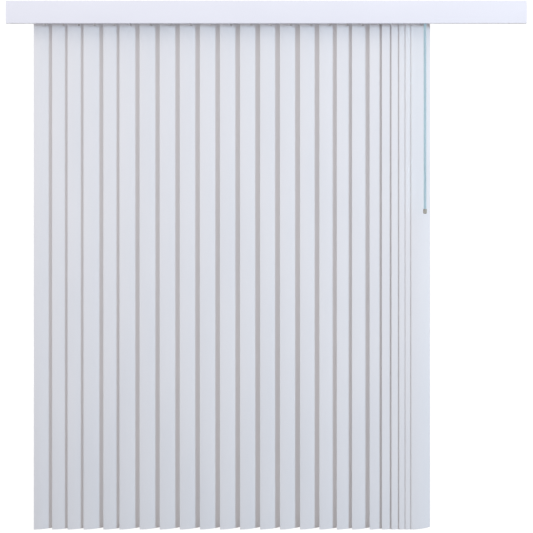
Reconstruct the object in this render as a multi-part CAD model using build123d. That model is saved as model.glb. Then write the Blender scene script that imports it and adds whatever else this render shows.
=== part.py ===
from build123d import *
from math import asin, cos, pi, sin
import os

# Wand-controlled vertical blind, drawn as it hangs on a wall, in millimetres.
# X runs along the headrail, -Y faces the room, +Z is up. The wall is the plane y = 0.
# The origin is the centre wall bracket: its two screw holes lie at z = 0, either side of x = 0.

# ------------------------------------------------ overall sizes
OVERALL_HEIGHT = 2134.0      # valance top to vane bottoms
RAIL_LENGTH = 2008.0
VALANCE_OVERHANG = 34.0      # of the valance beyond each end of the rail
VANE_WIDTH = 89.0            # straight across the curve of a vane

# ------------------------------------------------ where the carriers stand
WIDEST_PITCH = 82.0          # a spacer link pulled right out
CLOSEST_PITCH = 18.5         # carriers pushed together
FIRST_CARRIER = 99.0         # in from the left end of the rail
# spacing from each carrier to the next, as the blind is drawn across and let go
CARRIER_GAPS = [
    75.0, 63.0, 65.0, 81.0, 66.0, 82.0, 82.0, 82.0, 82.0, 82.0, 82.0, 82.0,
    81.0, 82.0, 79.0, 71.0, 62.0, 72.0, 50.0, 39.0, 31.5, 25.5, 23.5,
]
VANE_TURN = 18.0             # degrees between a vane and the wall, left edge towards the room

# ------------------------------------------------ clearances
RUNNING = 0.3                # around every turning or sliding piece
SEATED = 0.1                 # between fixed pieces that slip together
PIN_CLEARANCE = 0.08         # radial, wand hinge pin in its eye

# ------------------------------------------------ headrail
VANE_TO_WALL = 27.5          # beyond half a vane's width, from the wall to the line the vanes turn on
RAIL_TOP = 17.6
RAIL_WIDTH = 44.0
RAIL_HEIGHT = 34.0
RAIL_WALL = 1.3
RAIL_FLANGE = 1.2            # how far the top sheet stands out at each side
SLOT_WIDTH = 16.0
LINK_SPACE = 6.8             # between the carriers and the roof of the rail
CAP_PLATE = 2.5
CAP_PLUG = 5.0               # how far an end cap reaches into the rail
CAP_WALL = 1.6

# ------------------------------------------------ tilt rod and worm drive
ROD_TIP_RADIUS = 2.9         # three-finned bar
ROD_ROOT_RADIUS = 1.2
ROD_FIN = 1.6
ROD_Z = 2.0
ROD_END_GAP = 0.5
WORM_RADIUS = 4.6
WORM_THREAD = 0.7
WORM_TURNS = 5
WORM_LENGTH = 10.0
PINION_RADIUS = 4.8
PINION_TOOTH = 0.9
PINION_TEETH = 15
PINION_HEIGHT = 6.0
PINION_Z = -1.0
ROD_Y = PINION_RADIUS + WORM_RADIUS + 0.35

# ------------------------------------------------ carrier
HOUSING_LENGTH = 16.0
HOUSING_FRONT = 11.0         # in front of the vane stem
HOUSING_BACK = 16.0          # behind it, round the worm
HOUSING_STEP = -5.0          # the housing is narrower below this
FLOOR_GAP = 1.6              # between the housing and the floor of the rail
SKIRT_LENGTH = 12.0
SKIRT_TO_WHEEL = 2.0
WHEEL_RADIUS = 4.5
WHEEL_WIDTH = 3.0
WHEEL_TO_WALL = 3.2          # between a wheel and the side of the rail
AXLE_RADIUS = 1.5
STAPLE_WIDTH = 4.0
STAPLE_WINDOW = 4.2          # half the width that the links pass through
STAPLE_WALL = 1.2
STAPLE_BRIDGE = 0.8
LEADING_EDGE = 1.0           # of the leading housing beyond the neck of its arm

# ------------------------------------------------ spacer link
LINK_REACH = 7.0             # beyond the next carrier when pulled right out
LINK_WIDTH = 6.0
LINK_THICKNESS = 0.4
LINK_RISE = 2.4              # degrees, so that stacked links lie like shingles
LINK_FOOT = 3.0

# ------------------------------------------------ vane and its hanger
STEM_RADIUS = 3.0
STEM_CROWN = 1.0             # of housing left over the top of a stem
SADDLE_RADIUS = 4.5
SADDLE_GAP = 2.6             # below the rail
SADDLE_HEIGHT = 5.0
YOKE_HEIGHT = 5.6
VANE_GAP = 0.4               # between the yoke and the top edge of its vane
VANE_THICKNESS = 0.8
VANE_RADIUS = 160.0          # of the curve across a vane
HANGER_WIDTH = 9.0
PRONG = 1.4
PRONG_GAP = 0.15
FRONT_PRONG = 14.4           # below the yoke
BACK_PRONG = 6.4
NIB_WIDTH = 6.0
NIB_HEIGHT = 2.5
PUNCH_WIDTH = 12.0
PUNCH_HEIGHT = 4.0
PUNCH_DROP = 8.0             # vane top to the punched slot

# ------------------------------------------------ wand and the arm that carries it
ARM_GAP = 0.8                # below the rail
ARM_DEPTH = 5.8
ARM_NECK_START = 8.0
ARM_NECK_END = 15.0
ARM_NECK_HALF_WIDTH = 7.0
WAND_X = 1.2                 # beside the leading vane's stem
WAND_REACH = 9.2             # in front of it, beyond half the width of a vane
BOSS_RADIUS = 6.0
BOSS_RISE = 2.2              # above the arm
BOSS_DROP = 1.0              # below the arm
ARM_TAPER = 1.0              # the arm's end is narrower than its boss by this at each side
WAND_STEM_RADIUS = 2.0
WAND_STEM_HEAD = 4.0
WAND_STEM_HEAD_HEIGHT = 2.7
COLLAR_RADIUS = 3.5
COLLAR_HEIGHT = 2.7
EYE_RADIUS = 3.5
EYE_THICKNESS = 3.0
EYE_DROP = 26.0              # below the boss
EYE_NECK = 1.0               # how far the flat of the eye runs up the stem above its round
PIN_RADIUS = 1.5
EAR_GAP = 0.4
EAR_THICKNESS = 2.3
EAR_HALF_WIDTH = 3.6
EAR_ROOT = 0.5               # how far the fork is sunk into the rod
WAND_ACROSS_FLATS = 10.0
FORK_DEPTH = 7.0             # from the pin down to the rod
WAND_LENGTH = 749.0
TIP_RADIUS = 7.6
TIP_LENGTH = 19.0
TIP_SOCKET = 6.0
TIP_SHOULDER = 1.5           # rounding of its upper edge
TIP_ROUNDING = 5.0           # and of its foot

# ------------------------------------------------ wall brackets, rail clips and bolts
BRACKET_FROM_END = 174.0     # of the rail, for the two outer brackets
BRACKET_WIDTH = 40.0
BRACKET_SHEET = 2.0
BRACKET_FOOT = -6.0
BRACKET_LIP = 0.2            # of the rail's edge left bare in front of the bracket
SCREW_HOLE_RADIUS = 2.75
SCREW_SPACING = 24.0
CLIP_WIDTH = 30.0
CLIP_SHEET = 1.2
CLIP_RISE = 4.4              # of a clip's raised middle over the rail
CLIP_FLAT = 10.0             # half the raised middle
CLIP_SLOPE = 3.0
CLIP_HOOK = 1.2
BOLT_RADIUS = 2.4
BOLT_CLEARANCE = 0.2
BOLT_HEAD_RADIUS = 4.5
NUT_ACROSS_FLATS = 8.0
NUT_HEIGHT = 3.2
BOLT_END = 1.3               # beyond the nut

# ------------------------------------------------ valance and its clips
VALANCE_TOP = 30.0
VALANCE_HEIGHT = 90.0
VALANCE_TO_WAND = 16.3
VALANCE_SHEET = 2.0
VALANCE_CROWN = 2.0          # how far the face bulges
VALANCE_LIP = 5.5
VALANCE_CHANNEL = 4.0
CHANNEL_SHEET = 1.2
OUTER_CLIP_FROM_END = 44.0   # of the rail
INNER_CLIP_X = 420.0
VALANCE_CLIP_WIDTH = 16.0
VALANCE_CLIP_SHEET = 1.4
CLIP_GRIP = 18.0             # how far the arm lies back over the rail


# ------------------------------------------------ helpers
def block(x0, x1, y0, y1, z0, z1):
    """A box between two corners."""
    return Pos((x0 + x1) / 2, (y0 + y1) / 2, (z0 + z1) / 2) * Box(x1 - x0, y1 - y0, z1 - z0)


def post(radius, z0, z1, x=0.0, y=0.0):
    """A round upright between two heights."""
    return Pos(x, y, (z0 + z1) / 2) * Cylinder(radius, z1 - z0)


def bar_x(radius, x0, x1, y, z):
    """A round bar along X."""
    return Pos((x0 + x1) / 2, y, z) * Rot(0, 90, 0) * Cylinder(radius, x1 - x0)


def bar_y(radius, y0, y1, x, z):
    """A round bar along Y."""
    return Pos(x, (y0 + y1) / 2, z) * Rot(90, 0, 0) * Cylinder(radius, y1 - y0)


def along_x(face, x0, x1):
    """A (y, z) profile drawn out along X."""
    return extrude(Plane.YZ.offset(x0) * face, amount=x1 - x0)


def area(y0, y1, z0, z1):
    """A rectangle in a (y, z) profile."""
    return Pos((y0 + y1) / 2, (z0 + z1) / 2) * Rectangle(y1 - y0, z1 - z0)


def write(node, *pieces):
    """One STEP file of separate solids."""
    solids = [solid for piece in pieces for solid in piece.solids()]
    export_step(Compound(solids), f"parts/{node}.step")


# ------------------------------------------------ places that follow from the sizes
RAIL_Y = -VANE_WIDTH / 2 - VANE_TO_WALL
RAIL_FOOT = RAIL_TOP - RAIL_HEIGHT
RAIL_FLOOR = RAIL_FOOT + RAIL_WALL
RAIL_ROOF = RAIL_TOP - RAIL_WALL
HALF_RAIL = RAIL_WIDTH / 2
HALF_BORE = HALF_RAIL - RAIL_WALL
RAIL_END = RAIL_LENGTH / 2

HOUSING_TOP = RAIL_ROOF - LINK_SPACE
HOUSING_FOOT = RAIL_FLOOR + FLOOR_GAP
HALF_HOUSING = HOUSING_LENGTH / 2
WHEEL_OFFSET = HALF_BORE - WHEEL_TO_WALL - WHEEL_WIDTH
SKIRT_HALF_WIDTH = WHEEL_OFFSET - SKIRT_TO_WHEEL
STAPLE_TOP = RAIL_ROOF - RUNNING
LINK_LENGTH = WIDEST_PITCH + LINK_REACH

STEM_TOP = HOUSING_TOP - STEM_CROWN
SADDLE_TOP = RAIL_FOOT - SADDLE_GAP
SADDLE_FOOT = SADDLE_TOP - SADDLE_HEIGHT
YOKE_FOOT = SADDLE_FOOT - YOKE_HEIGHT
VANE_TOP = YOKE_FOOT - VANE_GAP
VANE_FOOT = VALANCE_TOP - OVERALL_HEIGHT
PUNCH_TOP = VANE_TOP - PUNCH_DROP

ARM_TOP = RAIL_FOOT - ARM_GAP
ARM_FOOT = ARM_TOP - ARM_DEPTH
BOSS_TOP = ARM_TOP + BOSS_RISE
BOSS_FOOT = ARM_FOOT - BOSS_DROP
WAND_FORWARD = VANE_WIDTH / 2 + WAND_REACH
EYE_Z = BOSS_FOOT - EYE_DROP
WAND_TOP = EYE_Z - FORK_DEPTH

BRACKET_TOP = RAIL_TOP + CLIP_RISE + BRACKET_SHEET
BRACKET_FRONT = RAIL_Y - HALF_RAIL - RAIL_FLANGE + BRACKET_LIP
VALANCE_FRONT = RAIL_Y - WAND_FORWARD - VALANCE_TO_WAND
VALANCE_FOOT = VALANCE_TOP - VALANCE_HEIGHT
VALANCE_MIDDLE = VALANCE_TOP - VALANCE_HEIGHT / 2
HALF_VALANCE = RAIL_END + VALANCE_OVERHANG


# ------------------------------------------------ headrail
def headrail():
    """Extruded box with a slot along its underside and a wider top sheet."""
    profile = area(-HALF_RAIL, HALF_RAIL, RAIL_FOOT, RAIL_TOP)
    profile += area(-HALF_RAIL - RAIL_FLANGE, HALF_RAIL + RAIL_FLANGE, RAIL_ROOF, RAIL_TOP)
    profile -= area(-HALF_BORE, HALF_BORE, RAIL_FLOOR, RAIL_ROOF)
    profile -= area(-SLOT_WIDTH / 2, SLOT_WIDTH / 2, RAIL_FOOT, RAIL_FLOOR)
    return Pos(0, RAIL_Y, 0) * along_x(profile, -RAIL_END, RAIL_END)


def rail_end_cap():
    """Plate over the right end of the rail, with a hollow plug and a bearing for the tilt rod."""
    half = HALF_BORE - SEATED
    low = RAIL_FLOOR + SEATED
    high = RAIL_ROOF - SEATED
    plug_start = RAIL_END - CAP_PLUG
    edge = HALF_RAIL + RAIL_FLANGE
    cap = block(RAIL_END, RAIL_END + CAP_PLATE, -edge, edge, RAIL_FOOT, RAIL_TOP)
    cap += block(plug_start, RAIL_END, -half, half, low, high)
    cap -= block(plug_start, RAIL_END, -half + CAP_WALL, half - CAP_WALL, low + CAP_WALL, high - CAP_WALL)
    cap += bar_x(ROD_TIP_RADIUS + RUNNING + CAP_WALL, plug_start, RAIL_END, ROD_Y, ROD_Z)
    cap -= bar_x(ROD_TIP_RADIUS + RUNNING, plug_start, RAIL_END, ROD_Y, ROD_Z)
    return Pos(0, RAIL_Y, 0) * cap


def tilt_rod():
    """Bar of three straight fins, turning in the two end caps."""
    outline = []
    for fin in range(3):
        turn = 2 * pi * fin / 3 + pi / 2
        half = asin(ROD_FIN / 2 / ROD_TIP_RADIUS)
        outline.append((ROD_TIP_RADIUS * cos(turn - half), ROD_TIP_RADIUS * sin(turn - half)))
        outline.append((ROD_TIP_RADIUS * cos(turn + half), ROD_TIP_RADIUS * sin(turn + half)))
        root = turn + pi / 3
        outline.append((ROD_ROOT_RADIUS * cos(root), ROD_ROOT_RADIUS * sin(root)))
    end = RAIL_END - ROD_END_GAP
    bar = along_x(Polygon(*outline, align=None), -end, end)
    return Pos(0, RAIL_Y + ROD_Y, ROD_Z) * bar


# ------------------------------------------------ carrier, drawn with its vane stem on the Z axis
def housing(length_ahead):
    """Moulded body with bores for stem and pinion, worm and rod, a staple over the links and two axles."""
    body = block(-HALF_HOUSING, length_ahead, -HOUSING_FRONT, HOUSING_BACK, HOUSING_STEP, HOUSING_TOP)
    half_skirt = SKIRT_LENGTH / 2
    body += block(-half_skirt, half_skirt, -SKIRT_HALF_WIDTH, SKIRT_HALF_WIDTH, HOUSING_FOOT, HOUSING_STEP)
    legs = STAPLE_WINDOW + STAPLE_WALL
    half_staple = STAPLE_WIDTH / 2
    staple = block(-half_staple, half_staple, -legs, legs, HOUSING_TOP, STAPLE_TOP)
    window_top = STAPLE_TOP - STAPLE_BRIDGE
    staple -= block(-half_staple, half_staple, -STAPLE_WINDOW, STAPLE_WINDOW, HOUSING_TOP, window_top)
    body += staple
    wheel_z = RAIL_FLOOR + RUNNING + WHEEL_RADIUS
    axle_end = WHEEL_OFFSET + WHEEL_WIDTH + RUNNING
    body += bar_y(AXLE_RADIUS, SKIRT_HALF_WIDTH, axle_end, 0, wheel_z)
    body += bar_y(AXLE_RADIUS, -axle_end, -SKIRT_HALF_WIDTH, 0, wheel_z)
    body -= post(STEM_RADIUS + RUNNING, HOUSING_FOOT, STEM_TOP + RUNNING)
    pinion_top = PINION_Z + PINION_HEIGHT
    body -= post(PINION_RADIUS + RUNNING + SEATED, PINION_Z - RUNNING, pinion_top + RUNNING)
    half_worm = WORM_LENGTH / 2 + RUNNING
    body -= bar_x(WORM_RADIUS + RUNNING, -half_worm, half_worm, ROD_Y, ROD_Z)
    body -= bar_x(ROD_TIP_RADIUS + RUNNING + SEATED, -HALF_HOUSING, length_ahead, ROD_Y, ROD_Z)
    return body


def wheel(side):
    """Runner on one axle; side is 1 behind the stem and -1 in front."""
    middle = side * (WHEEL_OFFSET + WHEEL_WIDTH / 2)
    z = RAIL_FLOOR + RUNNING + WHEEL_RADIUS
    near = middle - WHEEL_WIDTH / 2
    far = middle + WHEEL_WIDTH / 2
    ring = bar_y(WHEEL_RADIUS, near, far, 0, z)
    return ring - bar_y(AXLE_RADIUS + RUNNING, near, far, 0, z)


def worm():
    """Sleeve on the tilt rod, with a ridged outside that stands for its thread."""
    half = WORM_LENGTH / 2
    step = WORM_LENGTH / WORM_TURNS
    inner = ROD_TIP_RADIUS + RUNNING
    outline = [(inner, -half)]
    for turn in range(WORM_TURNS):
        start = -half + turn * step
        outline.append((WORM_RADIUS - WORM_THREAD, start))
        outline.append((WORM_RADIUS, start + step / 2))
    outline.append((WORM_RADIUS - WORM_THREAD, half))
    outline.append((inner, half))
    sleeve = revolve(Plane.XZ * Polygon(*outline, align=None), Axis.Z)
    return Pos(0, ROD_Y, ROD_Z) * Rot(0, 90, 0) * sleeve


def spacer_link():
    """Thin strip fixed on its own carrier and sliding through the staples of the next ones."""
    strip = block(0, LINK_LENGTH, -LINK_WIDTH / 2, LINK_WIDTH / 2, 0, LINK_THICKNESS)
    strip = Rot(0, -LINK_RISE, 0) * strip
    half = LINK_WIDTH / 2
    strip += block(-LINK_FOOT, LINK_FOOT, -half, half, 0, LINK_THICKNESS)
    return Pos(0, 0, HOUSING_TOP) * strip


def wand_arm():
    """Neck down through the slot of the rail, and an arm forward to the bored boss of the wand."""
    half = ARM_NECK_HALF_WIDTH
    neck = block(ARM_NECK_START, ARM_NECK_END, -half, half, ARM_FOOT, HOUSING_STEP)
    side = BOSS_RADIUS - ARM_TAPER
    outline = Polygon(
        (ARM_NECK_START, half), (ARM_NECK_START, -half), (WAND_X - side, -WAND_FORWARD),
        (WAND_X + side, -WAND_FORWARD), (ARM_NECK_END, -half), (ARM_NECK_END, half),
        align=None,
    )
    arm = neck + Pos(0, 0, ARM_FOOT) * extrude(outline, amount=ARM_TOP - ARM_FOOT)
    arm += post(BOSS_RADIUS, BOSS_FOOT, BOSS_TOP, WAND_X, -WAND_FORWARD)
    return arm - post(WAND_STEM_RADIUS + RUNNING, BOSS_FOOT, BOSS_TOP, WAND_X, -WAND_FORWARD)


def carrier(leading):
    """The pieces of one carrier; the leading one has the wand's arm and pulls no link."""
    if leading:
        body = housing(ARM_NECK_END + LEADING_EDGE) + wand_arm()
        return [body, worm(), wheel(1), wheel(-1)]
    return [housing(HALF_HOUSING), worm(), wheel(1), wheel(-1), spacer_link()]


# ------------------------------------------------ vane, drawn flat to the wall and then turned
def vane_sheet():
    """Curved strip, convex to the room, with a punched slot near its top."""
    half_angle = asin(VANE_WIDTH / 2 / VANE_RADIUS)

    def on_curve(radius, angle):
        return (radius * sin(angle), VANE_RADIUS - radius * cos(angle))

    front = VANE_RADIUS + VANE_THICKNESS / 2
    back = VANE_RADIUS - VANE_THICKNESS / 2
    front_arc = [on_curve(front, turn * half_angle) for turn in (-1, 0, 1)]
    back_arc = [on_curve(back, turn * half_angle) for turn in (1, 0, -1)]
    outline = Wire([
        ThreePointArc(*front_arc),
        Line(front_arc[2], back_arc[0]),
        ThreePointArc(*back_arc),
        Line(back_arc[2], front_arc[0]),
    ])
    sheet = Pos(0, 0, VANE_FOOT) * extrude(make_face(outline), amount=VANE_TOP - VANE_FOOT)
    half = PUNCH_WIDTH / 2
    return sheet - block(-half, half, -VANE_THICKNESS, VANE_THICKNESS, PUNCH_TOP - PUNCH_HEIGHT, PUNCH_TOP)


def hanger():
    """Stem with its pinion, and below the rail a yoke with two prongs and a nib through the vane's slot."""
    piece = post(STEM_RADIUS, SADDLE_TOP, STEM_TOP)
    teeth = []
    for tooth in range(PINION_TEETH):
        turn = 2 * pi * tooth / PINION_TEETH
        valley = turn + pi / PINION_TEETH
        root = PINION_RADIUS - PINION_TOOTH
        teeth.append((PINION_RADIUS * cos(turn), PINION_RADIUS * sin(turn)))
        teeth.append((root * cos(valley), root * sin(valley)))
    piece += Pos(0, 0, PINION_Z) * extrude(Polygon(*teeth, align=None), amount=PINION_HEIGHT)
    piece += post(SADDLE_RADIUS, SADDLE_FOOT, SADDLE_TOP)
    half = HANGER_WIDTH / 2
    bow = half * half / 2 / VANE_RADIUS
    front = -VANE_THICKNESS / 2 - PRONG_GAP
    back = VANE_THICKNESS / 2 + bow + PRONG_GAP
    piece += block(-half, half, front - PRONG, back + PRONG, YOKE_FOOT, SADDLE_FOOT)
    piece += block(-half, half, front - PRONG, front, YOKE_FOOT - FRONT_PRONG, YOKE_FOOT)
    piece += block(-half, half, back, back + PRONG, YOKE_FOOT - BACK_PRONG, YOKE_FOOT)
    half_nib = NIB_WIDTH / 2
    piece += block(-half_nib, half_nib, front, back + PRONG / 2, PUNCH_TOP - NIB_HEIGHT, PUNCH_TOP)
    return piece


# ------------------------------------------------ wand, drawn with the leading stem on the Z axis
def wand_stem():
    """Upright turned by the wand: head and collar either side of the boss, and an eye below."""
    head_foot = BOSS_TOP + RUNNING
    collar_top = BOSS_FOOT - RUNNING
    piece = post(WAND_STEM_RADIUS, EYE_Z + EYE_RADIUS + EYE_NECK / 2, head_foot)
    piece += post(WAND_STEM_HEAD, head_foot, head_foot + WAND_STEM_HEAD_HEIGHT)
    piece += post(COLLAR_RADIUS, collar_top - COLLAR_HEIGHT, collar_top)
    half = EYE_THICKNESS / 2
    eye = block(-half, half, -EYE_RADIUS, EYE_RADIUS, EYE_Z, EYE_Z + EYE_RADIUS + EYE_NECK)
    eye += bar_x(EYE_RADIUS, -half, half, 0, EYE_Z)
    piece += eye
    piece -= bar_x(PIN_RADIUS + PIN_CLEARANCE, -half, half, 0, EYE_Z)
    return Pos(WAND_X, -WAND_FORWARD, 0) * piece


def wand():
    """Six-sided rod with a fork and pin at its top."""
    rod = extrude(RegularPolygon(WAND_ACROSS_FLATS / 2 / cos(pi / 6), 6), amount=WAND_LENGTH)
    piece = Pos(0, 0, WAND_TOP - WAND_LENGTH) * rod
    inner = EYE_THICKNESS / 2 + EAR_GAP
    outer = inner + EAR_THICKNESS
    for start, end in ((inner, outer), (-outer, -inner)):
        ear = block(start, end, -EAR_HALF_WIDTH, EAR_HALF_WIDTH, WAND_TOP - EAR_ROOT, EYE_Z)
        piece += ear + bar_x(EAR_HALF_WIDTH, start, end, 0, EYE_Z)
    piece += bar_x(PIN_RADIUS, -outer, outer, 0, EYE_Z)
    return Pos(WAND_X, -WAND_FORWARD, 0) * piece


def wand_tip():
    """Rounded grip pushed over the foot of the wand."""
    top = WAND_TOP - WAND_LENGTH + TIP_SOCKET
    foot = top - TIP_LENGTH
    piece = post(TIP_RADIUS, foot, top)
    rims = piece.edges().filter_by(GeomType.CIRCLE).sort_by(Axis.Z)
    piece = fillet(rims[-1], TIP_SHOULDER)
    rims = piece.edges().filter_by(GeomType.CIRCLE).sort_by(Axis.Z)
    piece = fillet(rims[0], TIP_ROUNDING)
    socket = WAND_ACROSS_FLATS / 2 / cos(pi / 6) + SEATED
    piece -= post(socket, top - TIP_SOCKET - SEATED, top)
    return Pos(WAND_X, -WAND_FORWARD, 0) * piece


# ------------------------------------------------ wall brackets, rail clips and bolts
def wall_bracket(x):
    """Angle of sheet steel with two screw holes in its wall leg and a bolt hole over the rail."""
    half = BRACKET_WIDTH / 2
    piece = block(x - half, x + half, -BRACKET_SHEET, 0, BRACKET_FOOT, BRACKET_TOP)
    piece += block(x - half, x + half, BRACKET_FRONT, 0, BRACKET_TOP - BRACKET_SHEET, BRACKET_TOP)
    for side in (-1, 1):
        piece -= bar_y(SCREW_HOLE_RADIUS, -BRACKET_SHEET, 0, x + side * SCREW_SPACING / 2, 0)
    hole = BOLT_RADIUS + BOLT_CLEARANCE
    return piece - post(hole, BRACKET_TOP - BRACKET_SHEET, BRACKET_TOP, x, RAIL_Y)


def rail_clip(x):
    """Sprung hat of sheet steel under a bracket, hooked round both edges of the rail's top sheet."""
    top = BRACKET_TOP - BRACKET_SHEET
    lower = RAIL_TOP + CLIP_SHEET
    slope = CLIP_FLAT + CLIP_SLOPE
    inside = HALF_RAIL + RAIL_FLANGE + RUNNING
    outside = inside + CLIP_SHEET
    hook_top = RAIL_ROOF - SEATED
    hook_foot = hook_top - CLIP_SHEET
    hook_end = outside - CLIP_SHEET - CLIP_HOOK
    right = [
        (CLIP_FLAT, top), (slope, lower), (outside, lower), (outside, hook_foot), (hook_end, hook_foot),
        (hook_end, hook_top), (inside, hook_top), (inside, RAIL_TOP), (slope - CLIP_SHEET, RAIL_TOP),
        (CLIP_FLAT - CLIP_SHEET, top - CLIP_SHEET),
    ]
    left = [(-y, z) for y, z in reversed(right)]
    piece = along_x(Polygon(*right, *left, align=None), x - CLIP_WIDTH / 2, x + CLIP_WIDTH / 2)
    hole = BOLT_RADIUS + BOLT_CLEARANCE
    piece -= post(hole, top - CLIP_SHEET, top, x, 0)
    return Pos(0, RAIL_Y, 0) * piece


def clip_bolt(x):
    """Bolt up through a rail clip and its bracket, with a six-sided nut on top."""
    head_top = BRACKET_TOP - BRACKET_SHEET - CLIP_SHEET
    nut_top = BRACKET_TOP + NUT_HEIGHT
    bolt = post(BOLT_HEAD_RADIUS, RAIL_TOP + SEATED, head_top)
    bolt += post(BOLT_RADIUS, head_top, nut_top + BOLT_END)
    nut = extrude(RegularPolygon(NUT_ACROSS_FLATS / 2 / cos(pi / 6), 6), amount=NUT_HEIGHT)
    nut = Pos(0, 0, BRACKET_TOP) * nut - post(BOLT_RADIUS, BRACKET_TOP, nut_top)
    return [Pos(x, RAIL_Y, 0) * bolt, Pos(x, RAIL_Y, 0) * nut]


# ------------------------------------------------ valance
def crown(depth):
    """Upright curve at a depth behind the valance's face, as three (y, z) points from foot to top."""
    middle = VALANCE_FRONT + depth
    edge = middle + VALANCE_CROWN
    return [(edge, VALANCE_FOOT), (middle, VALANCE_MIDDLE), (edge, VALANCE_TOP)]


def crowned_sheet(depth, thickness):
    """Profile of a sheet that follows the crown."""
    front = crown(depth)
    back = crown(depth + thickness)
    return make_face(Wire([
        ThreePointArc(*front),
        Line(front[2], back[2]),
        ThreePointArc(*reversed(back)),
        Line(back[0], front[0]),
    ]))


def valance_front():
    """Crowned strip with a lip and a shallow channel behind its top and bottom edges."""
    piece = along_x(crowned_sheet(0, VALANCE_SHEET), -HALF_VALANCE, HALF_VALANCE)
    lip_start = VALANCE_FRONT + VALANCE_CROWN + VALANCE_SHEET / 4
    lip_end = VALANCE_FRONT + VALANCE_CROWN + VALANCE_LIP
    for edge, inward in ((VALANCE_TOP, -1), (VALANCE_FOOT, 1)):
        sheet_end = edge + inward * VALANCE_SHEET
        channel_end = sheet_end + inward * VALANCE_CHANNEL
        lip = area(lip_start, lip_end, min(edge, sheet_end), max(edge, sheet_end))
        lip += area(lip_end - CHANNEL_SHEET, lip_end, min(edge, channel_end), max(edge, channel_end))
        piece += along_x(lip, -HALF_VALANCE, HALF_VALANCE)
    return piece


def valance_clip(x):
    """Clear clip: an arm hooked on the rail's front edge, and an upright held in the valance's channels."""
    grip = RAIL_Y - HALF_RAIL - RAIL_FLANGE
    arm_foot = RAIL_TOP + SEATED
    arm_top = arm_foot + VALANCE_CLIP_SHEET
    face = VALANCE_FRONT + VALANCE_CROWN + VALANCE_SHEET + RUNNING
    upright = face + VALANCE_CLIP_SHEET
    profile = area(face, grip + CLIP_GRIP, arm_foot, arm_top)
    hook_out = grip - RUNNING - VALANCE_CLIP_SHEET
    hook_top = RAIL_ROOF - SEATED
    hook_foot = hook_top - VALANCE_CLIP_SHEET
    profile += area(hook_out, grip - RUNNING, hook_foot, arm_foot)
    profile += area(hook_out, grip + RAIL_FLANGE - RUNNING, hook_foot, hook_top)
    top = VALANCE_TOP - VALANCE_SHEET - SEATED
    foot = VALANCE_FOOT + VALANCE_SHEET + SEATED
    profile += area(face, upright, foot, top)
    tongue = VALANCE_FRONT + VALANCE_CROWN + VALANCE_LIP - CHANNEL_SHEET - RUNNING
    profile += area(face, tongue, top - VALANCE_CHANNEL, top)
    profile += area(face, tongue, foot, foot + VALANCE_CHANNEL)
    return along_x(profile, x - VALANCE_CLIP_WIDTH / 2, x + VALANCE_CLIP_WIDTH / 2)


# ------------------------------------------------ write the nodes
os.makedirs("parts", exist_ok=True)

write("headrail", headrail())
right_cap = rail_end_cap()
write("rail_end_caps", right_cap, mirror(right_cap, Plane.YZ))
write("tilt_rod", tilt_rod())

outer_bracket = RAIL_END - BRACKET_FROM_END
bracket_places = (-outer_bracket, 0.0, outer_bracket)
write("wall_brackets", *[wall_bracket(x) for x in bracket_places])
write("rail_clips", *[rail_clip(x) for x in bracket_places])
write("clip_bolts", *[piece for x in bracket_places for piece in clip_bolt(x)])

write("valance_front", valance_front())
outer_clip = RAIL_END - OUTER_CLIP_FROM_END
clip_places = (-outer_clip, -INNER_CLIP_X, INNER_CLIP_X, outer_clip)
write("valance_clips", *[valance_clip(x) for x in clip_places])

plain_carrier = carrier(leading=False)
leading_carrier = carrier(leading=True)
turned_vane = [Rot(0, 0, VANE_TURN) * piece for piece in (vane_sheet(), hanger())]
carrier_x = FIRST_CARRIER - RAIL_END
for number, gap in enumerate([0.0] + CARRIER_GAPS, 1):
    carrier_x += gap
    place = Pos(carrier_x, RAIL_Y, 0)
    pieces = leading_carrier if number > len(CARRIER_GAPS) else plain_carrier
    write(f"carrier_{number:02d}", *[place * piece for piece in pieces])
    write(f"vane_{number:02d}", *[place * piece for piece in turned_vane])

lead = Pos(carrier_x, RAIL_Y, 0)
write("wand_stem", lead * wand_stem())
write("wand", lead * wand())
write("wand_tip", lead * wand_tip())
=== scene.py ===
from math import asin, cos, pi, radians, sin

import bmesh
import bpy
from mathutils import Matrix, Vector


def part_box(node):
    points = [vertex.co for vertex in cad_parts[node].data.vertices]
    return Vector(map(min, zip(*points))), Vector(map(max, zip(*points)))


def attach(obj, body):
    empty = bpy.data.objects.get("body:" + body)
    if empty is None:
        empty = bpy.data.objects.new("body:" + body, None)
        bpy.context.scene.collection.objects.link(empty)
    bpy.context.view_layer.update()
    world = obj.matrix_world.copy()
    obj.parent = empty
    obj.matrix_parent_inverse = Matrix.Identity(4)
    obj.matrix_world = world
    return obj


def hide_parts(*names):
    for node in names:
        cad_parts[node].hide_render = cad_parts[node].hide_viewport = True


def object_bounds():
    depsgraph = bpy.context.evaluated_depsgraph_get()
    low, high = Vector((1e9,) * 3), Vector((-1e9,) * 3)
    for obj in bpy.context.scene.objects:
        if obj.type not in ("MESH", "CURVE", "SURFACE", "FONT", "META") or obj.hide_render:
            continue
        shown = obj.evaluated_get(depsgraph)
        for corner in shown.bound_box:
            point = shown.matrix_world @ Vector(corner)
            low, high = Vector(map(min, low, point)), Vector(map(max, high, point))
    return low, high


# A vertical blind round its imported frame, in metres: X along the headrail, -Y to the room, Z up.
# Strips and bars are drawn as outlines and run out by one Geometry Nodes tree. Hangers, wand and
# bolts are such bars and turned pieces fused together. The other fittings are copies of their CAD
# nodes with the edges eased, and the carriers are the CAD nodes themselves.

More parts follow.
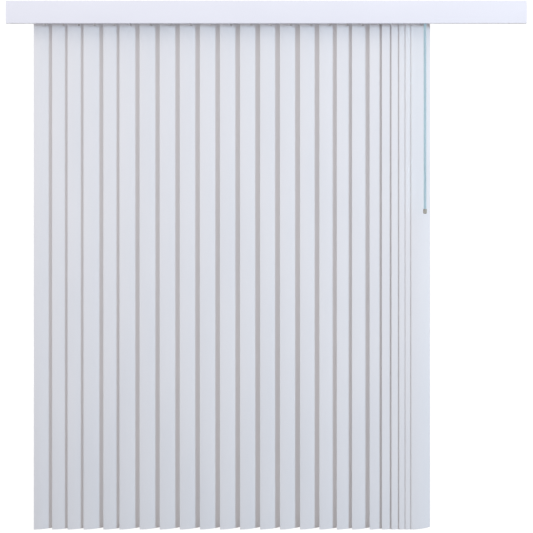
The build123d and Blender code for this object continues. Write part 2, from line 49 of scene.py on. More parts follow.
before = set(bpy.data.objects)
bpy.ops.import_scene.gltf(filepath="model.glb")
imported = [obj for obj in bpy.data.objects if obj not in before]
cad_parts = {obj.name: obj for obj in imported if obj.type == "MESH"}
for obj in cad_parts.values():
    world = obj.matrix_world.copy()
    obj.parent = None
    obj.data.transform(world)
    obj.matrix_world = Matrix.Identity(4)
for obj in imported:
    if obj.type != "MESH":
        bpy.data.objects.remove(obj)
cad_low, cad_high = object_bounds()

MM = 0.001
COUNT = 24

# ------------------------------------------------ places, read from the frame
rail_low, rail_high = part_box("headrail")
face_low, face_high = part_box("valance_front")
vane_low, vane_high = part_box("vane_01")
wand_low, wand_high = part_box("wand")
tip_low, tip_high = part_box("wand_tip")
stem_low, stem_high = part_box("wand_stem")
bolt_low, bolt_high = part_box("clip_bolts")
bracket_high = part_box("wall_brackets")[1]
rod_low, rod_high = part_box("tilt_rod")

RAIL_Y = (rail_low.y + rail_high.y) / 2
HALF_HOUSING = 8 * MM
BOLT_TO_EDGE = 4.6 * MM         # from an outer bolt's axis to the end of its node's box
VANE_X = [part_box(f"carrier_{number:02d}")[0].x + HALF_HOUSING for number in range(1, COUNT + 1)]
WAND_X = (wand_low.x + wand_high.x) / 2
WAND_Y = (wand_low.y + wand_high.y) / 2
BOLT_X = (bolt_low.x + BOLT_TO_EDGE, 0.0, bolt_high.x - BOLT_TO_EDGE)

# ------------------------------------------------ sizes of the visible pieces
VANE_WIDTH = 89 * MM
VANE_THICKNESS = 0.8 * MM
VANE_CURVE = 160 * MM           # radius across a vane
VANE_TURN = radians(18)         # left edge towards the room
VANE_TWIST = radians(0.3)       # most that a vane's foot is turned from its top
VANE_BOW = 0.3 * MM             # most that a vane's middle stands out of line
TWIST_STEP = 2.4                # these two steps spread twist and bow unevenly over the vanes
BOW_STEP = 1.7
VANE_ROWS = 28
VANE_COLUMNS = 22
VANE_TOP = rail_low.z - 13.6 * MM
VANE_FOOT = vane_low.z
SLOT_WIDTH = 12 * MM
SLOT_HEIGHT = 4 * MM
SLOT_CORNER = 1.8 * MM
SLOT_TOP = VANE_TOP - 8 * MM

MERGE = 0.002 * MM              # points closer than this become one
THIN = 0.001 * MM               # edges shorter than this go

STEM_RADIUS = 3 * MM
STEM_TOP = vane_high.z
PINION_FOOT = -1 * MM
PINION_HEIGHT = 6 * MM
PINION_RADIUS = 4.8 * MM
PINION_ROOT = 3.9 * MM
PINION_TEETH = 15
TOOTH_SHAPE = (                 # share of the pitch from a tooth's middle, and radius
    (-0.28, PINION_ROOT),
    (-0.12, PINION_RADIUS),
    (0.12, PINION_RADIUS),
    (0.28, PINION_ROOT),
)
SADDLE_RADIUS = 4.5 * MM
SADDLE_TOP = rail_low.z - 2.6 * MM
SADDLE_FOOT = SADDLE_TOP - 5 * MM
YOKE_FOOT = VANE_TOP + 0.4 * MM
HANGER_WIDTH = 9 * MM
PRONG = 1.4 * MM
PRONG_GAP = 0.15 * MM
FRONT_PRONG = 14.4 * MM
BACK_PRONG = 6.4 * MM
NIB_WIDTH = 6 * MM
NIB_HEIGHT = 2.5 * MM

RAIL_WALL = 1.3 * MM
RAIL_FLANGE = 1.2 * MM
RAIL_SLOT = 16 * MM

ROD_TIP = 2.9 * MM
ROD_ROOT = 1.2 * MM
ROD_FIN = 1.6 * MM

CROWN = 2 * MM
VALANCE_SHEET = 2 * MM
VALANCE_LIP = 5.5 * MM
CHANNEL_DEPTH = 4 * MM
CHANNEL_SHEET = 1.2 * MM
LIP_INSET = 0.1 * MM            # of the lips from each end of the valance

WAND_FLATS = 10 * MM
FORK_DEPTH = 7 * MM
EAR_INNER = 1.9 * MM
EAR_OUTER = 4.2 * MM
EAR_RADIUS = 3.6 * MM
PIN_RADIUS = 1.5 * MM
PIN_CLEARANCE = 0.08 * MM
WAND_STEM_RADIUS = 2 * MM
STEM_HEAD_RADIUS = 4 * MM
STEM_HEAD_HEIGHT = 2.7 * MM
COLLAR_RADIUS = 3.5 * MM
COLLAR_TOP = stem_low.z + 29.2 * MM
COLLAR_HEIGHT = 2.7 * MM
EYE_RADIUS = 3.5 * MM
EYE_HALF = 1.5 * MM
EYE_Z = wand_high.z - EAR_RADIUS
WAND_TOP = EYE_Z - FORK_DEPTH
SEATED = 0.1 * MM               # room left round the rod in its grip
TIP_SOCKET = 6 * MM
TIP_SHOULDER = 1.5 * MM
TIP_ROUNDING = 5 * MM

BOLT_CORE = 2.05 * MM
BOLT_THREAD = 0.35 * MM
BOLT_PITCH = 0.9 * MM
BOLT_HEAD = 4.5 * MM
NUT_FLATS = 8 * MM
NUT_HEIGHT = 3.2 * MM
NUT_CHAMFER = 0.4 * MM
BRACKET_STACK = 3.2 * MM        # clip and bracket between bolt head and nut

WHITE = 1.05                    # strength that shows as plain white
FLOOR_DROP = 20 * MM
FLOOR_REACH = 6
FLOOR_BOUNCE = (0.17, 0.16, 0.16)
BOUNCE_REACH = 3.2
SKY_COLOUR = (1.0, 0.94, 0.94)
SKY_STRENGTH = 0.76
SUN_AWAY = 6
LENS = 42.39                    # mm, on a sensor 36 mm wide
SENSOR = 36
CAMERA_PLACE = (0.001, -2.642, -1.030)


# ------------------------------------------------ trees of nodes
def add(tree, kind, values=None, **settings):
    """A node with its settings; values gives its inputs as plain values or other nodes' outputs."""
    made = tree.nodes.new(kind)
    for key, value in settings.items():
        setattr(made, key, value)
    for key, value in (values or {}).items():
        if isinstance(value, bpy.types.NodeSocket):
            tree.links.new(value, made.inputs[key])
        else:
            made.inputs[key].default_value = value
    return made


def calculate(tree, operation, first, second=0.0):
    """One step of arithmetic in a tree."""
    return add(tree, "ShaderNodeMath", {0: first, 1: second}, operation=operation).outputs[0]


def shape_tree(name, **inputs):
    """A Geometry Nodes tree with named inputs, its input node and the name of each input's socket."""
    tree = bpy.data.node_groups.new(name, "GeometryNodeTree")
    tree.is_modifier = True
    kinds = {
        "float": "NodeSocketFloat",
        "int": "NodeSocketInt",
        "Vector": "NodeSocketVector",
        "Material": "NodeSocketMaterial",
    }
    tree.interface.new_socket("Geometry", in_out="INPUT", socket_type="NodeSocketGeometry")
    for label, value in inputs.items():
        kind = kinds[type(value).__name__] if value is not None else kinds["Material"]
        socket = tree.interface.new_socket(label, in_out="INPUT", socket_type=kind)
        if value is not None:
            socket.default_value = value
    tree.interface.new_socket("Geometry", in_out="OUTPUT", socket_type="NodeSocketGeometry")
    return tree, tree.nodes.new("NodeGroupInput").outputs


def close_tree(tree, shape, finish):
    """The last nodes of every tree."""
    real = add(tree, "GeometryNodeRealizeInstances", {"Geometry": shape})
    painted = add(tree, "GeometryNodeSetMaterial", {"Geometry": real.outputs[0], "Material": finish})
    output = tree.nodes.new("NodeGroupOutput")
    tree.links.new(painted.outputs[0], output.inputs[0])
    return tree


def run_out_tree():
    """Runs a closed outline out along Z, eases, bows and twists it, and turns it into place."""
    tree, given = shape_tree(
        "run_out", Start=0.0, End=1.0, Rows=1, Rounding=0.0, Steps=2, Bow=0.0, Twist=0.0,
        Turn=Vector(), Place=Vector(), Finish=None,
    )
    outline = add(tree, "GeometryNodeMeshToCurve", {"Mesh": given["Geometry"]}).outputs[0]
    eased = add(
        tree, "GeometryNodeFilletCurve",
        {"Curve": outline, "Count": given["Steps"], "Radius": given["Rounding"], "Limit Radius": True},
        mode="POLY",
    ).outputs[0]
    start = add(tree, "ShaderNodeCombineXYZ", {"Z": given["Start"]}).outputs[0]
    end = add(tree, "ShaderNodeCombineXYZ", {"Z": given["End"]}).outputs[0]
    line = add(tree, "GeometryNodeCurvePrimitiveLine", {"Start": start, "End": end}).outputs[0]
    points = calculate(tree, "ADD", given["Rows"], 1)
    path = add(tree, "GeometryNodeResampleCurve", {"Curve": line, "Count": points}).outputs[0]
    solid = add(
        tree, "GeometryNodeCurveToMesh", {"Curve": path, "Profile Curve": eased, "Fill Caps": True}
    ).outputs[0]
    shaped = bowed_and_twisted(tree, solid, given)
    placed = add(
        tree, "GeometryNodeTransform",
        {"Geometry": shaped, "Rotation": given["Turn"], "Translation": given["Place"]},
    ).outputs[0]
    return close_tree(tree, placed, given["Finish"])


def bowed_and_twisted(tree, solid, given):
    """Bows a strip along Y between its ends, and twists it about Z towards its start."""
    position = add(tree, "GeometryNodeInputPosition").outputs[0]
    height = add(tree, "ShaderNodeSeparateXYZ", {"Vector": position}).outputs["Z"]
    share = add(
        tree, "ShaderNodeMapRange",
        {"Value": height, "From Min": given["End"], "From Max": given["Start"]},
    ).outputs[0]
    hump = calculate(tree, "SINE", calculate(tree, "MULTIPLY", share, pi))
    bow = calculate(tree, "MULTIPLY", hump, given["Bow"])
    angle = calculate(tree, "MULTIPLY", share, given["Twist"])
    turned = add(
        tree, "ShaderNodeVectorRotate", {"Vector": position, "Angle": angle}, rotation_type="Z_AXIS"
    ).outputs[0]
    offset = add(tree, "ShaderNodeCombineXYZ", {"Y": bow}).outputs[0]
    return add(
        tree, "GeometryNodeSetPosition", {"Geometry": solid, "Position": turned, "Offset": offset}
    ).outputs[0]


def punch_tree():
    """Punches a slot with rounded corners through a strip, square to its face."""
    tree, given = shape_tree(
        "punched_slot", Width=SLOT_WIDTH, Height=SLOT_HEIGHT, Corner=SLOT_CORNER, Depth=0.01,
        Turn=Vector(), Place=Vector(), Finish=None,
    )
    outline = add(
        tree, "GeometryNodeCurvePrimitiveQuadrilateral",
        {"Width": given["Width"], "Height": given["Height"]},
    ).outputs[0]
    eased = add(
        tree, "GeometryNodeFilletCurve",
        {"Curve": outline, "Count": 4, "Radius": given["Corner"], "Limit Radius": True}, mode="POLY",
    ).outputs[0]
    half = calculate(tree, "MULTIPLY", given["Depth"], 0.5)
    other_half = calculate(tree, "MULTIPLY", half, -1.0)
    below = add(tree, "ShaderNodeCombineXYZ", {"Z": other_half}).outputs[0]
    above = add(tree, "ShaderNodeCombineXYZ", {"Z": half}).outputs[0]
    line = add(tree, "GeometryNodeCurvePrimitiveLine", {"Start": below, "End": above}).outputs[0]
    cutter = add(
        tree, "GeometryNodeCurveToMesh", {"Curve": line, "Profile Curve": eased, "Fill Caps": True}
    ).outputs[0]
    upright = add(
        tree, "GeometryNodeTransform", {"Geometry": cutter, "Rotation": (pi / 2, 0, 0)}
    ).outputs[0]
    placed = add(
        tree, "GeometryNodeTransform",
        {"Geometry": upright, "Rotation": given["Turn"], "Translation": given["Place"]},
    ).outputs[0]
    cut = add(
        tree, "GeometryNodeMeshBoolean", {"Mesh 1": given["Geometry"], "Mesh 2": placed}, solver="EXACT"
    ).outputs[0]
    return close_tree(tree, cut, given["Finish"])


def thread_tree():
    """A screw thread wound round a core along Z."""
    tree, given = shape_tree(
        "screw_thread", Core=BOLT_CORE, Crest=BOLT_THREAD, Pitch=BOLT_PITCH, Foot=0.0, Top=0.01,
        Finish=None,
    )
    length = calculate(tree, "SUBTRACT", given["Top"], given["Foot"])
    turns = calculate(tree, "DIVIDE", length, given["Pitch"])
    helix = add(
        tree, "GeometryNodeCurveSpiral",
        {"Resolution": 20, "Rotations": turns, "Start Radius": given["Core"],
         "End Radius": given["Core"], "Height": length},
    ).outputs[0]
    ridge = add(
        tree, "GeometryNodeCurvePrimitiveCircle", {"Resolution": 4, "Radius": given["Crest"]}
    ).outputs[0]
    thread = add(
        tree, "GeometryNodeCurveToMesh", {"Curve": helix, "Profile Curve": ridge, "Fill Caps": True}
    ).outputs[0]
    lift = add(tree, "ShaderNodeCombineXYZ", {"Z": given["Foot"]}).outputs[0]
    placed = add(tree, "GeometryNodeTransform", {"Geometry": thread, "Translation": lift}).outputs[0]
    joined = add(tree, "GeometryNodeJoinGeometry", {"Geometry": placed})
    tree.links.new(given["Geometry"], joined.inputs[0])
    return close_tree(tree, joined.outputs[0], given["Finish"])


# ------------------------------------------------ making pieces
def shown(name, mesh):
    """A new object for a mesh."""
    thing = bpy.data.objects.new(name, mesh)
    bpy.context.scene.collection.objects.link(thing)
    return thing


def set_inputs(modifier, tree, **values):
    """Gives a tree's inputs to its modifier, by socket identifier."""
    modifier.node_group = tree
    for item in tree.interface.items_tree:
        if item.item_type == "SOCKET" and item.in_out == "INPUT" and item.name in values:
            modifier[item.identifier] = values[item.name]


def plain(thing):
    """The shape with its modifiers worked in, as a plain mesh."""
    graph = bpy.context.evaluated_depsgraph_get()
    mesh = bpy.data.meshes.new_from_object(thing.evaluated_get(graph), depsgraph=graph)
    thing.modifiers.clear()
    thing.data = mesh
    return thing


def outward(thing):
    """Merges doubled points and points the faces outwards."""
    work = bmesh.new()
    work.from_mesh(thing.data)
    bmesh.ops.remove_doubles(work, verts=work.verts, dist=MERGE)
    bmesh.ops.recalc_face_normals(work, faces=work.faces)
    work.to_mesh(thing.data)
    work.free()
    return thing


def loop_mesh(name, outline):
    """A closed outline as edges in the XY plane."""
    mesh = bpy.data.meshes.new(name)
    edges = [(point, (point + 1) % len(outline)) for point in range(len(outline))]
    mesh.from_pydata([(x, y, 0) for x, y in outline], edges, [])
    return mesh


def run_out(name, outline, start, end, finish, **more):
    """A bar or strip: the outline run out from start to end along Z, then turned and moved."""
    thing = shown(name, loop_mesh(name, outline))
    modifier = thing.modifiers.new("run_out", "NODES")
    set_inputs(modifier, RUN_OUT, Start=start, End=end, Finish=finish, **more)
    return outward(plain(thing))


def along_rail(name, outline, start, end, finish, **more):
    """A bar along X whose outline is drawn in (y, z)."""
    return run_out(name, outline, start, end, finish, Turn=(pi / 2, 0, pi / 2), **more)


def block(name, low, high, finish):
    """A block between two corners."""
    outline = [(low[0], low[1]), (high[0], low[1]), (high[0], high[1]), (low[0], high[1])]
    return run_out(name, outline, low[2], high[2], finish)


def turned(name, outline, finish, place=(0, 0, 0), segments=40):
    """A turned piece: an (r, z) outline spun about an upright axis at a place."""
    work = bmesh.new()
    points = [work.verts.new((radius, 0, height)) for radius, height in outline]
    edges = [work.edges.new((points[step], points[step - 1])) for step in range(len(points))]
    bmesh.ops.spin(
        work, geom=points + edges, cent=(0, 0, 0), axis=(0, 0, 1), angle=2 * pi, steps=segments,
        use_merge=True,
    )
    bmesh.ops.remove_doubles(work, verts=work.verts, dist=MERGE)
    bmesh.ops.dissolve_degenerate(work, edges=work.edges, dist=THIN)
    bmesh.ops.recalc_face_normals(work, faces=work.faces)
    mesh = bpy.data.meshes.new(name)
    work.to_mesh(mesh)
    work.free()
    mesh.transform(Matrix.Translation(place))
    mesh.materials.append(finish)
    return shown(name, mesh)


def fused(name, pieces, operation="UNION"):
    """Pieces made one, or the later ones cut from the first."""
    body = pieces[0]
    for other in pieces[1:]:
        modifier = body.modifiers.new("fuse", "BOOLEAN")
        modifier.operation = operation
        modifier.solver = "EXACT"
        modifier.object = other
        plain(body)
        bpy.data.objects.remove(other)
    body.name = name
    body.data.name = name
    return body


def eased(thing, width, angle=35, segments=2):
    """Bevels the sharp edges and shades the faces without dragging light across the flats."""
    bevel = thing.modifiers.new("eased_edges", "BEVEL")
    bevel.width = width
    bevel.segments = segments
    bevel.limit_method = "ANGLE"
    bevel.angle_limit = radians(angle)
    plain(thing)
    return shaded(thing, angle)


def shaded(thing, angle=35):
    """Smooth shading that breaks at sharp edges and leaves flats flat."""
    thing.data.shade_smooth()
    thing.data.set_sharp_from_angle(angle=radians(angle))
    weights = thing.modifiers.new("shading", "WEIGHTED_NORMAL")
    weights.keep_sharp = True
    weights.weight = 80
    return plain(thing)


def fitted(thing, body, slot, *nodes):
    """Rides on its body and stands for its CAD nodes; the slot is not used."""
    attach(thing, body)
    if nodes:
        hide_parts(*nodes)
    return thing


def softened(name, node, width, finish):
    """A copy of a CAD node with its edges eased."""
    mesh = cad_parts[node].data.copy()
    work = bmesh.new()
    work.from_mesh(mesh)
    bmesh.ops.remove_doubles(work, verts=work.verts, dist=MERGE)
    bmesh.ops.dissolve_limit(
        work, angle_limit=radians(1), verts=work.verts, edges=work.edges,
        use_dissolve_boundaries=False,
    )
    mesh.clear_geometry()
    mesh.materials.clear()
    work.to_mesh(mesh)
    work.free()
    mesh.materials.append(finish)
    return eased(shown(name, mesh), width)


# ------------------------------------------------ materials
def new_finish(name, **sockets):
    """A material whose even values stand on its shader; returns material, tree, shader and place."""
    material = bpy.data.materials.new(name)
    material.use_nodes = True
    tree = material.node_tree
    shader = tree.nodes["Principled BSDF"]
    for label, value in sockets.items():
        shader.inputs[label.replace("_", " ")].default_value = value
    place = add(tree, "ShaderNodeTexCoord").outputs["Object"]
    return material, tree, shader, place


def stretched(tree, place, scale, turn=0.0):
    """The place with its axes scaled, so that a pattern runs along a piece."""
    return add(
        tree, "ShaderNodeMapping", {"Vector": place, "Scale": scale, "Rotation": (0, 0, turn)}
    ).outputs[0]


def noise(tree, place, scale, detail=2.0, rough=0.5):
    """Soft random variation over a piece."""
    return add(
        tree, "ShaderNodeTexNoise",
        {"Vector": place, "Scale": scale, "Detail": detail, "Roughness": rough},
    ).outputs["Fac"]


def between(tree, value, low, high, from_low=0.3, from_high=0.7):
    """A value carried into a new range."""
    return add(
        tree, "ShaderNodeMapRange",
        {"Value": value, "From Min": from_low, "From Max": from_high, "To Min": low, "To Max": high},
    ).outputs[0]


def mottle(tree, shader, value, first, second):
    """Base colour that drifts between two close tones."""
    mix = add(tree, "ShaderNodeMix", {"Factor": value}, data_type="RGBA")
    mix.inputs[6].default_value = (*first, 1)
    mix.inputs[7].default_value = (*second, 1)
    tree.links.new(mix.outputs[2], shader.inputs["Base Color"])


def relief(tree, shader, height, distance, strength=1.0):
    """Fine relief on the surface."""
    bump = add(
        tree, "ShaderNodeBump", {"Height": height, "Distance": distance, "Strength": strength}
    ).outputs[0]
    tree.links.new(bump, shader.inputs["Normal"])


def vane_vinyl():
    """Extruded satin vinyl: fine lines along the vane and a very slight unevenness."""
    material, tree, shader, place = new_finish("vane_vinyl", Roughness=0.42, IOR=1.5)
    across = stretched(tree, place, (1, 0.15, 0.012), -VANE_TURN)
    lines = noise(tree, across, 620, 3, 0.6)
    drift = noise(tree, stretched(tree, place, (1, 1, 0.25)), 9, 2)
    mottle(tree, shader, between(tree, drift, 0, 1), (0.775, 0.785, 0.805), (0.80, 0.805, 0.82))
    tree.links.new(between(tree, lines, 0.36, 0.48), shader.inputs["Roughness"])
    relief(tree, shader, lines, 0.03 * MM)
    return material


def valance_vinyl():
    """The same vinyl, drawn smoother, with lines along the valance."""
    material, tree, shader, place = new_finish("valance_vinyl", Roughness=0.36, IOR=1.5)
    along = stretched(tree, place, (0.01, 1, 1))
    lines = noise(tree, along, 480, 3, 0.55)
    drift = noise(tree, stretched(tree, place, (0.4, 1, 1)), 7, 2)
    mottle(tree, shader, between(tree, drift, 0, 1), (0.82, 0.835, 0.90), (0.84, 0.855, 0.92))
    tree.links.new(between(tree, lines, 0.30, 0.40), shader.inputs["Roughness"])
    relief(tree, shader, lines, 0.015 * MM)
    return material


def moulded_acetal():
    """White mouldings with the faint grain of a tool."""
    material, tree, shader, place = new_finish("moulded_acetal", Roughness=0.38, IOR=1.48)
    grain = noise(tree, place, 1800, 4, 0.6)
    cloud = noise(tree, place, 60, 2)
    mottle(tree, shader, between(tree, cloud, 0, 1), (0.72, 0.72, 0.71), (0.78, 0.78, 0.77))
    tree.links.new(between(tree, grain, 0.32, 0.46), shader.inputs["Roughness"])
    relief(tree, shader, grain, 0.02 * MM)
    return material


def stoved_paint():
    """White stoved paint on the extrusion, with a trace of orange peel."""
    material, tree, shader, place = new_finish(
        "stoved_paint", Roughness=0.3, Coat_Weight=0.25, Coat_Roughness=0.15
    )
    peel = noise(tree, stretched(tree, place, (0.6, 1, 1)), 420, 2)
    cloud = noise(tree, stretched(tree, place, (0.2, 1, 1)), 20, 2)
    mottle(tree, shader, between(tree, cloud, 0, 1), (0.76, 0.765, 0.76), (0.80, 0.80, 0.79))
    tree.links.new(between(tree, cloud, 0.26, 0.36), shader.inputs["Roughness"])
    relief(tree, shader, peel, 0.015 * MM)
    return material


def drawn_aluminium():
    """Bare drawn aluminium with die lines along the rod."""
    material, tree, shader, place = new_finish("drawn_aluminium", Metallic=1.0, Roughness=0.3)
    lines = noise(tree, stretched(tree, place, (0.01, 1, 1)), 2600, 3, 0.6)
    cloud = noise(tree, stretched(tree, place, (0.2, 1, 1)), 60, 2)
    mottle(tree, shader, between(tree, cloud, 0, 1), (0.72, 0.73, 0.74), (0.82, 0.83, 0.84))
    tree.links.new(between(tree, lines, 0.22, 0.42), shader.inputs["Roughness"])
    relief(tree, shader, lines, 0.01 * MM)
    return material


def zinc_plate():
    """Bright zinc on pressed steel, clouded as plating is."""
    material, tree, shader, place = new_finish("zinc_plate", Metallic=1.0, Roughness=0.3)
    cloud = noise(tree, place, 140, 4, 0.6)
    grain = noise(tree, place, 1500, 3, 0.5)
    mottle(tree, shader, between(tree, cloud, 0, 1), (0.60, 0.61, 0.63), (0.74, 0.75, 0.76))
    tree.links.new(between(tree, cloud, 0.24, 0.42), shader.inputs["Roughness"])
    relief(tree, shader, grain, 0.008 * MM)
    return material


def clear_plastic():
    """Clear moulded plastic with a slight haze."""
    material, tree, shader, place = new_finish(
        "clear_plastic", Transmission_Weight=0.92, IOR=1.49, Roughness=0.08
    )
    haze = noise(tree, place, 300, 3)
    mottle(tree, shader, between(tree, haze, 0, 1), (0.93, 0.95, 0.95), (0.97, 0.98, 0.98))
    tree.links.new(between(tree, haze, 0.05, 0.14), shader.inputs["Roughness"])
    relief(tree, shader, haze, 0.01 * MM)
    return material


def clear_acrylic():
    """Clear acrylic with its faint green-blue cast and draw lines along the wand."""
    material, tree, shader, place = new_finish(
        "clear_acrylic", Transmission_Weight=0.4, IOR=1.49, Roughness=0.3
    )
    lines = noise(tree, stretched(tree, place, (1, 1, 0.01)), 900, 2)
    mottle(tree, shader, between(tree, lines, 0, 1), (0.46, 0.63, 0.68), (0.54, 0.70, 0.75))
    tree.links.new(between(tree, lines, 0.26, 0.36), shader.inputs["Roughness"])
    relief(tree, shader, lines, 0.01 * MM)
    return material


def smoky_plastic():
    """Soft tinted plastic of the wand's grip."""
    material, tree, shader, place = new_finish(
        "smoky_plastic", Transmission_Weight=0.35, IOR=1.47, Roughness=0.2
    )
    cloud = noise(tree, place, 220, 3)
    mottle(tree, shader, between(tree, cloud, 0, 1), (0.44, 0.43, 0.37), (0.52, 0.51, 0.45))
    tree.links.new(between(tree, cloud, 0.12, 0.22), shader.inputs["Roughness"])
    relief(tree, shader, cloud, 0.02 * MM)
    return material


# ------------------------------------------------ outlines
def curved_strip(width, radius, thickness, columns, ends=4):
    """Cross-section of a strip curved about a centre behind it, with rounded edges, as (x, y)."""
    half_angle = asin(width / 2 / radius)
    edge_trim = thickness / 2 / radius
    reach = half_angle - edge_trim
    outline = []
    for side in (1, -1):
        face = radius + side * thickness / 2
        for column in range(columns + 1):
            angle = side * reach * (2 * column / columns - 1)
            outline.append((face * sin(angle), radius - face * cos(angle)))
        edge = side * reach
        for step in range(1, ends):
            turn = pi * step / ends
            out = thickness / 2 * sin(turn)
            across = side * thickness / 2 * cos(turn)
            outline.append((
                (radius + across) * sin(edge) + side * out * cos(edge),
                radius - (radius + across) * cos(edge) + side * out * sin(edge),
            ))
    return outline


def corner_radius(flats):
    """Radius of a hexagon's corners from its width across flats."""
    return flats / 2 / cos(pi / 6)


def hexagon(flats, x=0.0, y=0.0):
    """Six-sided outline round a point."""
    corner = corner_radius(flats)
    return [(x + corner * cos(pi * step / 3), y + corner * sin(pi * step / 3)) for step in range(6)]


def rotated(outline, angle):
    """An outline turned about the origin."""
    return [(x * cos(angle) - y * sin(angle), x * sin(angle) + y * cos(angle)) for x, y in outline]


# ------------------------------------------------ vanes and their hangers
def vane(number, x, finish):
    """One vane with its punched slot; each hangs a touch differently."""
    outline = rotated(curved_strip(VANE_WIDTH, VANE_CURVE, VANE_THICKNESS, VANE_COLUMNS), VANE_TURN)
    thing = run_out(
        f"vane_sheet_{number:02d}", outline, VANE_FOOT, VANE_TOP, finish, Rows=VANE_ROWS,
        Bow=VANE_BOW * sin(number * BOW_STEP), Twist=VANE_TWIST * sin(number * TWIST_STEP),
        Place=(x, RAIL_Y, 0),
    )
    punch = thing.modifiers.new("punched_slot", "NODES")
    middle = SLOT_TOP - SLOT_HEIGHT / 2
    set_inputs(punch, PUNCH, Turn=(0, 0, VANE_TURN), Place=(x, RAIL_Y, middle), Finish=finish)
    plain(thing)
    shaded(thing, 40)
    return fitted(thing, f"vane_{number:02d}", "vinyl_white", f"vane_{number:02d}")


def pinion(finish):
    """Toothed wheel round the stem."""
    outline = []
    for tooth in range(PINION_TEETH):
        for share, radius in TOOTH_SHAPE:
            turn = 2 * pi * (tooth + share) / PINION_TEETH
            outline.append((radius * cos(turn), radius * sin(turn)))
    return run_out("pinion", outline, PINION_FOOT, PINION_FOOT + PINION_HEIGHT, finish)


def yoke(finish):
    """Fork that the vane clips into: a bridge, a long front prong and a short back one with its nib."""
    half = HANGER_WIDTH / 2
    front = -VANE_THICKNESS / 2 - PRONG_GAP
    back = VANE_THICKNESS / 2 + half * half / 2 / VANE_CURVE + PRONG_GAP
    side = [
        (front - PRONG, SADDLE_FOOT), (front - PRONG, YOKE_FOOT - FRONT_PRONG),
        (front, YOKE_FOOT - FRONT_PRONG), (front, YOKE_FOOT),
        (back, YOKE_FOOT), (back, YOKE_FOOT - BACK_PRONG),
        (back + PRONG, YOKE_FOOT - BACK_PRONG), (back + PRONG, SADDLE_FOOT),
    ]
    body = along_rail("yoke", side, -half, half, finish, Rounding=0.35 * MM)
    half_nib = NIB_WIDTH / 2
    nib = block(
        "nib", (-half_nib, front - PRONG / 2, SLOT_TOP - NIB_HEIGHT),
        (half_nib, back + PRONG / 2, SLOT_TOP), finish,
    )
    return fused("yoke", [body, nib])


def hanger_shape(finish):
    """Stem, pinion, saddle and yoke of one hanger, drawn on the Z axis."""
    shoulder = SADDLE_TOP - 1 * MM
    stem = turned("stem", [
        (0, shoulder), (STEM_RADIUS, shoulder), (STEM_RADIUS, STEM_TOP - 0.5 * MM),
        (STEM_RADIUS - 0.5 * MM, STEM_TOP), (0, STEM_TOP),
    ], finish)
    saddle = turned("saddle", [
        (0, SADDLE_FOOT - 0.5 * MM), (SADDLE_RADIUS - 0.6 * MM, SADDLE_FOOT - 0.5 * MM),
        (SADDLE_RADIUS, SADDLE_FOOT), (SADDLE_RADIUS, shoulder),
        (SADDLE_RADIUS - 1 * MM, SADDLE_TOP), (0, SADDLE_TOP),
    ], finish)
    shape = fused("hanger", [stem, pinion(finish), saddle, yoke(finish)])
    shape = eased(shape, 0.18 * MM)
    shape.data.transform(Matrix.Rotation(VANE_TURN, 4, "Z"))
    return shape


def hanger(number, x, pattern):
    """One hanger, at its place on the rail."""
    mesh = pattern.data.copy()
    mesh.transform(Matrix.Translation((x, RAIL_Y, 0)))
    thing = shown(f"vane_hanger_{number:02d}", mesh)
    return fitted(thing, f"vane_{number:02d}", "moulded_white")


# ------------------------------------------------ headrail
def headrail(finish):
    """Extruded rail: a box with a slot below and a wider top sheet."""
    low = rail_low.z
    high = rail_high.z
    outer = (rail_high.y - rail_low.y) / 2
    side = outer - RAIL_FLANGE
    slot = RAIL_SLOT / 2
    inner = side - RAIL_WALL
    right = [
        (slot, low + RAIL_WALL), (slot, low), (side, low), (side, high - RAIL_WALL),
        (outer, high - RAIL_WALL), (outer, high),
    ]
    left = [(-y, z) for y, z in reversed(right)]
    inside = [
        (-inner, low + RAIL_WALL), (-inner, high - RAIL_WALL), (inner, high - RAIL_WALL),
        (inner, low + RAIL_WALL),
    ]
    thing = along_rail(
        "headrail_extrusion", right + left + inside, rail_low.x, rail_high.x, finish,
        Rounding=0.3 * MM, Steps=3, Place=(0, RAIL_Y, 0),
    )
    shaded(thing)
    return fitted(thing, "headrail", "painted_aluminium", "headrail")


def tilt_rod(finish):
    """Rod of three straight fins."""
    middle_y = (rod_low.y + rod_high.y) / 2
    outline = []
    for fin in range(3):
        turn = 2 * pi * fin / 3 + pi / 2
        half = asin(ROD_FIN / 2 / ROD_TIP)
        for angle in (turn - half, turn + half):
            outline.append((ROD_TIP * cos(angle), ROD_TIP * sin(angle)))
        root = turn + pi / 3
        outline.append((ROD_ROOT * cos(root), ROD_ROOT * sin(root)))
    axis_z = rod_high.z - ROD_TIP * cos(asin(ROD_FIN / 2 / ROD_TIP))
    thing = along_rail(
        "tilt_rod_bar", outline, rod_low.x, rod_high.x, finish, Rounding=0.35 * MM, Steps=3,
        Place=(0, middle_y, axis_z),
    )
    shaded(thing)
    return fitted(thing, "tilt_rod", "bare_aluminium", "tilt_rod")


# ------------------------------------------------ valance
def crown_strip(depth, thickness):
    """Cross-section of a sheet that follows the crown of the valance, as (y, z)."""
    height = face_high.z - face_low.z
    radius = (height * height / 4 + CROWN * CROWN) / 2 / CROWN
    middle = (face_low.z + face_high.z) / 2
    face = face_low.y + depth + thickness / 2
    return [(face + y, middle + x) for x, y in curved_strip(height, radius, thickness, 28)]


